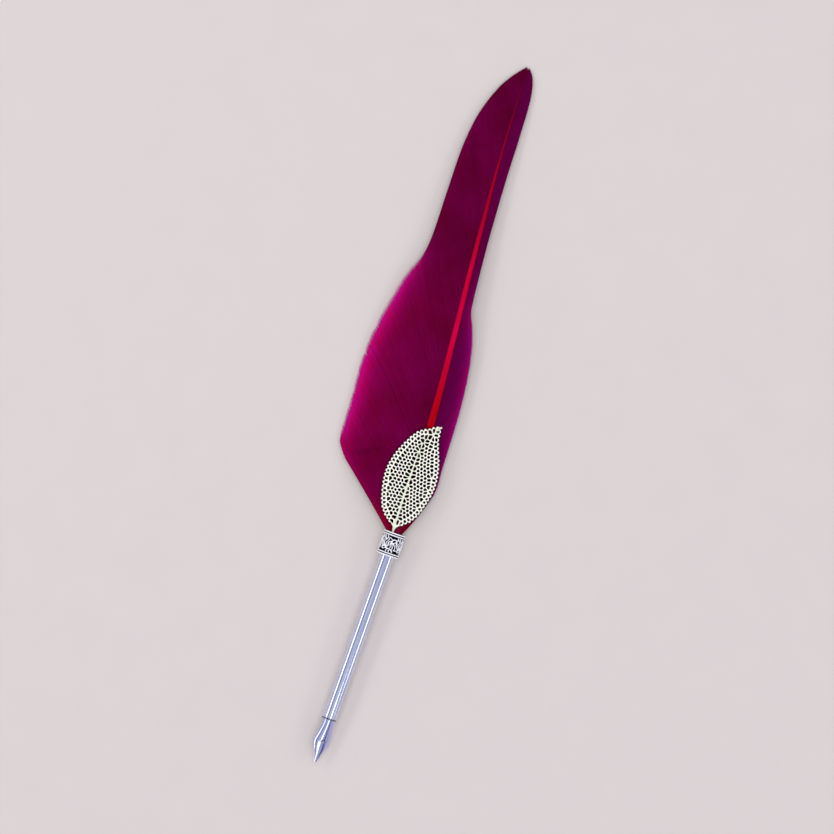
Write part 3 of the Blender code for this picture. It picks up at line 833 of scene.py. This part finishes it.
def is_clear(outline, corner):
    """Whether a corner of a hole leaves enough metal beside the margin."""
    near = np.linalg.norm(outline - (corner.x, corner.y), axis=1).min()
    return near > LEAF_LEAST_RIM and is_inside(outline, corner.x, corner.y)


def hole_sites(margin, lobe_holes):
    """Middles of the holes: one in each lobe, the rest in slanting rows beside the midrib."""
    draw = random.Random(LEAF_SEED)
    first, last = LEAF_HOLES_BETWEEN
    cosine, sine = math.cos(VEIN_ANGLE), math.sin(VEIN_ANGLE)
    sites = [(float(x), float(y)) for x, y in lobe_holes]
    for side in (-1, 1):
        for row in range(-12, 60):
            for step in range(60):
                run = LEAF_ALONG * (step + 0.5 * (row % 2))
                off = cosine * run - sine * LEAF_ACROSS * row + draw.uniform(-1, 1) * LEAF_JITTER
                climb = sine * run + cosine * LEAF_ACROSS * row + draw.uniform(-1, 1) * LEAF_JITTER
                y = LEAF_ROWS_FROM + climb
                if not first < y < last or not 0 < off < LEAF_REACH:
                    continue
                x = float(spline(LEAF_MIDRIB, y)) + side * off
                if off < float(spline(LEAF_RIB_HALF, y)) + 0.35 or not is_inside(margin, x, y):
                    continue
                if np.linalg.norm(margin - (x, y), axis=1).min() < MARGIN_CLEAR:
                    continue
                if np.linalg.norm(lobe_holes - (x, y), axis=1).min() > LOBE_HOLE_CLEAR:
                    sites.append((x, y))
    return np.array(sites)


def hole_shape(site, sites, run_of_margin):
    """One hole: the ground nearer to its middle than to any other, less half a web all round."""
    reach = LEAF_CELL_REACH
    middle = Vector(site)
    shape = [middle + Vector(corner) * reach for corner in ((-1, -1), (1, -1), (1, 1), (-1, 1))]
    away = sites - site
    near = np.nonzero((np.abs(away) < 2 * reach).all(1) & (np.abs(away).sum(1) > 0))[0]
    for k in near:
        gap = Vector(away[k])
        outward = gap.normalized()
        shape = clipped(shape, middle + gap / 2 - outward * LEAF_WEB / 2, outward)
    rib_x = float(spline(LEAF_MIDRIB, site[1]))
    side = 1 if site[0] > rib_x else -1
    rib_half = float(spline(LEAF_RIB_HALF, site[1]))
    shape = clipped(shape, Vector((rib_x + side * rib_half, site[1])), Vector((-side, 0)))
    to_margin = np.linalg.norm(run_of_margin - site, axis=1)
    for k in np.nonzero(to_margin < reach)[0][::2]:
        if 0 < k < len(run_of_margin) - 1:
            run = Vector(run_of_margin[k + 1] - run_of_margin[k - 1]).normalized()
            outward = Vector((run.y, -run.x))
            shape = clipped(shape, Vector(run_of_margin[k]) - outward * LEAF_RIM, outward)
    return shape


def curve_mesh(curve):
    """The mesh of a curve, welded."""
    guide = add_to_scene("guide", curve)
    mesh = evaluated_mesh(guide)
    bpy.data.objects.remove(guide)
    shape = bmesh.new()
    shape.from_mesh(mesh)
    bmesh.ops.remove_doubles(shape, verts=shape.verts, dist=0.000002)
    shape.to_mesh(mesh)
    shape.free()
    return mesh


def leaf_plate():
    """The pierced plate, flat, with rounded edges."""
    curve = bpy.data.curves.new("leaf_plate", "CURVE")
    curve.dimensions = "2D"
    curve.fill_mode = "BOTH"
    curve.extrude = LEAF_PLATE / 2 * MM
    curve.bevel_depth = LEAF_ROUND * MM
    curve.bevel_resolution = 1
    margin, run_of_margin, lobe_holes = leaf_margin()
    stem = [Vector((x, LEAF_STEM_FOOT)) for x in LEAF_STEM]
    loops = [stem + [Vector(point) for point in margin]]
    sites = hole_sites(margin, lobe_holes)
    for site in sites:
        shape = hole_shape(site, sites, run_of_margin)
        if len(shape) > 2 and area_of(shape) > LEAF_MIN_AREA:
            hole = rounded(shape)
            while not all(is_clear(margin, corner) for corner in hole):
                hole = [corner.lerp(Vector(site), 0.08) for corner in hole]
            loops.append(hole)
    for loop in loops:
        line = curve.splines.new("POLY")
        line.points.add(len(loop) - 1)
        line.use_cyclic_u = True
        for corner, place in zip(line.points, loop):
            corner.co = (place.x * MM, place.y * MM, 0, 1)
    return curve_mesh(curve)


def make_leaf():
    """The filigree plate, curled over the shaft, with a greener tone along its midrib."""
    mesh = leaf_plate()
    points = places_of(mesh)
    points[:, 2] += leaf_z(points[:, 0], points[:, 1])
    faces = [list(face.vertices) for face in mesh.polygons]
    bpy.data.meshes.remove(mesh)
    off = np.abs(points[:, 0] - spline(LEAF_MIDRIB, points[:, 1]))
    vein = 0.8 * (1 - smoothstep(0.5, 1.6, off))
    leaf = new_piece("leaf_filigree", on_table(points), faces, gilt_material(), {"vein": vein})
    hand_in(leaf, "leaf", 50)


def revolve(name, profile, steps, finish, values, relief=0.0):
    """Turns a closed profile of (radius, place along) points about the pen's axis."""
    profile = np.asarray(profile, float)
    turn = np.linspace(0, 2 * math.pi, steps, endpoint=False)
    r = np.repeat(profile[:, :1], steps, 1) + relief
    y = np.repeat(profile[:, 1:2], steps, 1)
    points = np.stack([r * np.sin(turn)[None, :], y, r * np.cos(turn)[None, :]], -1).reshape(-1, 3)
    index = np.arange(len(profile) * steps).reshape(len(profile), steps)
    rows = np.roll(index, -1, 0)
    quads = np.stack([index, np.roll(index, -1, 1), np.roll(rows, -1, 1), rows], -1).reshape(-1, 4)
    return new_piece(name, in_holder(points), quads.tolist(), finish, values)


def make_barrel():
    """The polished rod and the nib's slot in it, with painted shade on the lip and end face at its bottom
    and inside the slot.
    """
    end = BARREL_BOTTOM
    outer, inner = SLOT_R
    # Profile rows: radius, place along, and painted shade on the lip, end face and inside the slot
    profile = [(ON_AXIS, QUILL_BORE_BOTTOM, 0), (QUILL_BORE_R, QUILL_BORE_BOTTOM, 0)]
    profile += [(QUILL_BORE_R, BARREL_TOP, 0), (2.8, BARREL_TOP, 0)]
    profile += [(2.9, BARREL_TOP - 0.04, 0), (BARREL_R, BARREL_TOP - 0.15, 0)]
    profile += [(BARREL_R, y, 0) for y in np.linspace(BARREL_TOP - 1, end + 1, 12)]
    profile += [(BARREL_R, end + 0.60, 0), (2.88, end + 0.55, 0.9), (2.88, end + 0.34, 0.9)]
    profile += [(3.0, end + 0.31, 0.7), (LIP_R - 0.02, end + 0.25, 0.5), (LIP_R - 0.02, end + 0.14, 0.5)]
    profile += [(3.0, end + 0.03, 0.8), (2.9, end, 0.95), (outer, end, 1), (outer, end + SLOT_DEPTH, 1)]
    profile += [(inner, end + SLOT_DEPTH, 1), (inner, end + CORE_DEPTH + 0.1, 1)]
    profile += [(inner - 0.1, end + CORE_DEPTH, 1), (ON_AXIS, end + CORE_DEPTH, 1)]
    profile = np.array(profile)
    values = {"painted_shade_and_reflection": np.repeat(profile[:, 2], BARREL_STEPS)}
    finish = metal_material("polished_barrel", *BARREL_TINTS, 0.11, 0.05)
    hand_in(revolve("barrel_polished", profile[:, :2], BARREL_STEPS, finish, values), "barrel", 50)


def curl(u, v, size, start, turns, spin, wide, thin):
    """Points (u, v, half width) of one curl that winds inwards round an open eye."""
    share = np.linspace(0, 1, 120)
    angle = start + spin * 2 * math.pi * turns * share
    radius = size * (1 - 0.35 * share)
    half = wide + (thin - wide) * share
    return np.stack([u + radius * np.cos(angle), v + radius * np.sin(angle), half], -1)


def stroke(points, wide, thin):
    """Points (u, v, half width) of a curved line that thins towards its end."""
    path, at = fine_path(points, 30)
    half = wide + (thin - wide) * at / at[-1]
    return np.concatenate([path, half[:, None]], -1)


def vine(period):
    """One repeat of the relief: a curl up, then a curl down, with stems and leaves between."""
    leaves = (
        (((-0.75, -0.2), (-1.35, -0.9), (-1.5, -2.0), (-2.25, -2.8)), 0.29, 0.22),
        (((0.1, -0.95), (-0.05, -2.0), (0.15, -3.3)), 0.24, 0.17),
        (((0.6, -0.75), (0.95, -1.9), (1.05, -3.4)), 0.22, 0.16),
        (((-0.35, -1.0), (-0.8, -1.9), (-0.75, -3.2)), 0.22, 0.16),
        (((-0.8, -3.2), (-1.3, -3.8), (-1.6, -4.6)), 0.24, 0.20),
        (((0.3, -3.5), (0.75, -3.9), (0.7, -4.7)), 0.24, 0.20),
        (((0.8, 0.2), (1.5, 0.55), (2.1, 0.4)), 0.24, 0.16),
        (((-0.8, 0.3), (-1.4, 0.7), (-2.0, 0.55)), 0.22, 0.16),
        (((-0.1, -3.3), (-0.5, -4.0), (-0.4, -4.7)), 0.24, 0.22),
    )
    lines = []
    for flip, shift, size in ((1, 0.08, 0.95), (-1, 0.58, 0.75)):
        u, v = period * shift, 1.5 * flip
        lines.append(curl(u, v, size, -math.pi * 0.75 * flip, 1.15, flip, 0.27, 0.20))
        for points, wide, thin in leaves:
            lines.append(stroke([(u + a, v + b * flip) for a, b in points], wide, thin))
    return np.concatenate(lines)


def drum_relief(period):
    """Height of one repeat over the unrolled drum, from 0 in the ground to 1 on the crests."""
    turn = np.linspace(0, period, COLLAR_STEPS // SCROLL_PERIODS, endpoint=False)
    u, v = np.meshgrid(turn, np.linspace(DRUM_TO, DRUM_FROM, DRUM_ROWS) - (DRUM_FROM + DRUM_TO) / 2)
    height = np.zeros_like(u)
    wave = 2 * math.pi / period
    u, v = u + 0.30 * np.sin(2.2 * v + 0.9), v + 0.22 * np.sin(2 * wave * u + 0.5)
    for shift in (-period, 0, period):
        for su, sv, half in vine(period):
            away = ((u - su - shift) ** 2 + (v - sv) ** 2) / half**2
            height = np.maximum(height, np.clip(1.3 * np.sqrt(np.clip(1 - away, 0, 1)), 0, 1))
    return height


def bead(end, way, start, height):
    """A rounded rim as (radius, place, brightness) points."""
    rows = []
    for angle in np.linspace(0, math.pi, 8):
        place = end + way * (start + height * (1 - math.cos(angle)) / 2)
        rows.append((RIM_R - RIM_ROUND + RIM_ROUND * math.sin(angle), place, 0.95))
    return rows


def rim_pair(end, way):
    """Two rounded rims with dark lines beside them, from one end of the collar inwards."""
    rows = [(RIM_R - 0.25, end, 0.9)]
    rows += bead(end, way, 0.02, 0.46)
    rows += [(RIM_R - 0.28, end + way * 0.50, 0.05), (RIM_R - 0.34, end + way * 0.68, 0.0)]
    rows += [(RIM_R - 0.28, end + way * 0.86, 0.05)]
    rows += bead(end, way, 0.88, 0.44)
    rows += [(RIM_R - 0.35, end + way * 1.34, 0.05), (DRUM_R - 0.02, end + way * 1.48, 0.0)]
    return rows


def make_collar():
    """The cast ring: beaded rims at both ends and the vine in relief between them."""
    mouth = COLLAR_TOP - COLLAR_MOUTH_DEPTH
    inner = [(COLLAR_BORE_R, COLLAR_BOTTOM + 0.1, 0.5), (COLLAR_BORE_R, mouth, 0.2),
             (COLLAR_MOUTH_R, mouth, 0.1), (COLLAR_MOUTH_R, COLLAR_TOP - 0.12, 0.3),
             (COLLAR_MOUTH_R + 0.1, COLLAR_TOP, 0.8)]
    before = inner + rim_pair(COLLAR_TOP, -1)
    drum = [(DRUM_R, y, 0.0) for y in np.linspace(DRUM_TO, DRUM_FROM, DRUM_ROWS)]
    after = rim_pair(COLLAR_BOTTOM, 1)[::-1] + [(COLLAR_BORE_R + 0.1, COLLAR_BOTTOM, 0.8)]
    rows = np.array(before + drum + after)
    height = np.tile(drum_relief(2 * math.pi * DRUM_R / SCROLL_PERIODS), (1, SCROLL_PERIODS))
    relief = np.zeros((len(rows), COLLAR_STEPS))
    bright = np.repeat(rows[:, 2:3], COLLAR_STEPS, 1)
    relief[len(before):len(before) + DRUM_ROWS] = height * RELIEF_HEIGHT
    bright[len(before):len(before) + DRUM_ROWS] = height
    values = {"relief": bright.reshape(-1)}
    collar = revolve("collar_scrollwork", rows[:, :2], COLLAR_STEPS, antique_material(), values, relief)
    hand_in(collar, "collar", 60)


def nib_sheet():
    """Corners and faces of the nib's upper face: flat along the crest, turning down at the sides."""
    share = np.linspace(-1, 1, NIB_COLUMNS)
    y = np.linspace(NIB_TIP, NIB_BACK, NIB_ROWS)
    turn = np.sign(share) * np.abs(share) ** NIB_FLATNESS
    lean = np.radians(spline(NIB_SIDE_TURN, y))[:, None] * turn[None, :]
    middle = (lean[:, 1:] + lean[:, :-1]) / 2
    start = np.zeros((NIB_ROWS, 1))
    across = np.concatenate([start, np.cumsum(np.cos(middle), axis=1)], 1)
    down = np.concatenate([start, np.cumsum(np.sin(middle), axis=1)], 1)
    scale = (2 * spline(NIB_HALF_WIDTH, y) / across[:, -1])[:, None]
    x = (across - across[:, -1:] / 2) * scale
    z = spline(NIB_CREST, y)[:, None] + (down.min(1, keepdims=True) - down) * scale
    points = np.stack([x, np.repeat(y[:, None], NIB_COLUMNS, 1), z], -1).reshape(-1, 3)
    index = np.arange(NIB_ROWS * NIB_COLUMNS).reshape(NIB_ROWS, NIB_COLUMNS)
    return points * MM, grid_quads(index)


def cut_away(target, shape, place):
    """Adds a Boolean cut to an object and returns the cutter."""
    mesh = bpy.data.meshes.new("cutter")
    shape.to_mesh(mesh)
    shape.free()
    cutter = add_to_scene("cutter", mesh)
    cutter.location = place
    boolean = target.modifiers.new("cut", "BOOLEAN")
    boolean.operation = "DIFFERENCE"
    boolean.object = cutter
    return cutter


def painted_reflection_and_vent_shade_at(x, y):
    """Where dark is painted on the nib: a painted dark reflection in a band right of the slit, and painted
    shade round the vent's upper edge.
    """
    start, end = spline(DARK_REFLECTION_FROM, y), spline(DARK_REFLECTION_TO, y)
    band = 0.8 * stretch(x, (start, start + 0.25), (end - 0.25, end + 0.1))
    from_vent = np.hypot(x, y - VENT_Y) - VENT_R
    ring = (1 - smoothstep(0.25, 0.55, from_vent)) * smoothstep(VENT_Y - 0.2, VENT_Y + 0.2, y)
    return np.maximum(band, ring)


def make_nib():
    """The bent steel sheet with its vent and slit, rolled a little to the right."""
    points, faces = nib_sheet()
    finish = metal_material("nib_steel", *NIB_TINTS, 0.12, 0.08)
    nib = new_piece("nib_steel", points, faces, finish)
    solidify = nib.modifiers.new("thickness", "SOLIDIFY")
    solidify.thickness = NIB_THICKNESS * MM
    solidify.offset = -1
    crest = float(spline(NIB_CREST, VENT_Y)) * MM
    vent = bmesh.new()
    bmesh.ops.create_cone(vent, cap_ends=True, segments=40, radius1=VENT_R * MM, radius2=VENT_R * MM,
                          depth=4 * MM)
    slit = bmesh.new()
    bmesh.ops.create_cube(slit, size=MM)
    for corner in slit.verts:
        corner.co *= Vector((SLIT_WIDTH, VENT_Y - SLIT_END, 4))
    cutters = (cut_away(nib, vent, (0, VENT_Y * MM, crest)),
               cut_away(nib, slit, (0, (VENT_Y + SLIT_END) / 2 * MM, crest)))
    mesh = evaluated_mesh(nib)
    nib.modifiers.clear()
    for cutter in cutters:
        bpy.data.objects.remove(cutter)
    x, y, z = places_of(mesh).T
    rolled = np.stack([x * math.cos(NIB_ROLL) + z * math.sin(NIB_ROLL), y,
                       z * math.cos(NIB_ROLL) - x * math.sin(NIB_ROLL)], -1)
    mesh.vertices.foreach_set("co", in_holder(rolled).reshape(-1))
    # Painted dark reflection right of the slit and painted shade round the vent
    layer = mesh.attributes.new("painted_shade_and_reflection", "FLOAT", "POINT")
    layer.data.foreach_set("value", painted_reflection_and_vent_shade_at(x, y).astype(np.float32))
    mesh.update()
    nib.data = mesh
    hand_in(nib, "nib", 40)


def make_camera():
    data = bpy.data.cameras.new("camera")
    data.sensor_width = SENSOR
    data.lens = SENSOR * VIEW_HEIGHT / VIEW_WIDTH
    data.clip_start = 0.05
    data.clip_end = 50
    camera = add_to_scene("camera", data)
    camera.location = on_table((*VIEW_MIDDLE, VIEW_HEIGHT)).tolist()
    camera.rotation_euler = (0, 0, PEN_LEAN)
    bpy.context.scene.camera = camera


def area_light(name, from_top, side, distance, width, ends, radiance, colour=WHITE):
    """A soft rectangular light parallel to the pen, at an angle from straight above."""
    length = ends[1] - ends[0]
    data = bpy.data.lights.new(name, "AREA")
    data.shape = "RECTANGLE"
    data.size = width
    data.size_y = length
    data.energy = radiance * math.pi * width * length
    data.color = colour
    lamp = add_to_scene(name, data)
    angle = math.radians(from_top)
    lamp.location = (PEN_X * MM + side * distance * math.sin(angle), (ends[0] + ends[1]) / 2,
                     distance * math.cos(angle))
    lamp.rotation_euler = (0, side * angle, 0)
    lamp.visible_camera = False
    return lamp


def make_world():
    """Surroundings whose tone changes across the pen, as its polished barrel mirrors them."""
    world = Shader("studio", bpy.data.worlds, "Background")
    place = world.node("ShaderNodeTexCoord")
    split = world.node("ShaderNodeSeparateXYZ")
    angle = world.node("ShaderNodeMath", operation="ARCTAN2")
    share = world.node("ShaderNodeMath", operation="MULTIPLY_ADD")
    share.inputs[1].default_value = 0.5 / math.pi
    share.inputs[2].default_value = 0.5
    world.link(place.outputs["Generated"], split.inputs["Vector"])
    world.link(split.outputs["X"], angle.inputs[0])
    world.link(split.outputs["Z"], angle.inputs[1])
    world.link(angle.outputs[0], share.inputs[0])
    stops = [(degrees / 360 + 0.5, colour) for degrees, colour in ROOM]
    world.drive("Color", world.ramp(share.outputs[0], stops))
    bpy.context.scene.world = world.owner


def make_floor():
    shader = Shader("pale_floor")
    grain = shader.spread(shader.noise(60, 3.0), 0.3, 0.7, 0, 1)
    shader.drive("Base Color", shader.mix(grain, *FLOOR_TINTS))
    shader.set(Roughness=0.9, Specular_IOR_Level=0.05)
    corners = [(x * FLOOR_HALF, y * FLOOR_HALF, 0) for x, y in ((-1, -1), (1, -1), (1, 1), (-1, 1))]
    new_piece("floor", corners, [[0, 1, 2, 3]], shader.owner)


def make_studio():
    make_camera()
    make_world()
    make_floor()
    area_light("left_strip", 52, -1, 1.2, 0.26, (-1.1, 1.1), 1.9)
    area_light("right_strip", 57, 1, 1.2, 0.24, (-0.198, 1.1), 1.9)
    near_strip = area_light("near_strip", 18.5, 1, 0.45, 0.10, (-0.232, -0.150), 2.3)
    near_strip.visible_diffuse = False
    tip_card = area_light("tip_card", 10, 1, 0.4, 0.22, (-0.360, -0.240), 1.5)
    tip_card.visible_diffuse = False
    overhead = area_light("overhead", 0, 1, 2.2, 2.4, (-1.2, 1.2), 1.30, WARM_WHITE)
    overhead.visible_glossy = False
    bpy.context.scene.view_settings.view_transform = "Standard"


make_studio()
make_feather()
make_leaf()
make_collar()
make_barrel()
make_nib()
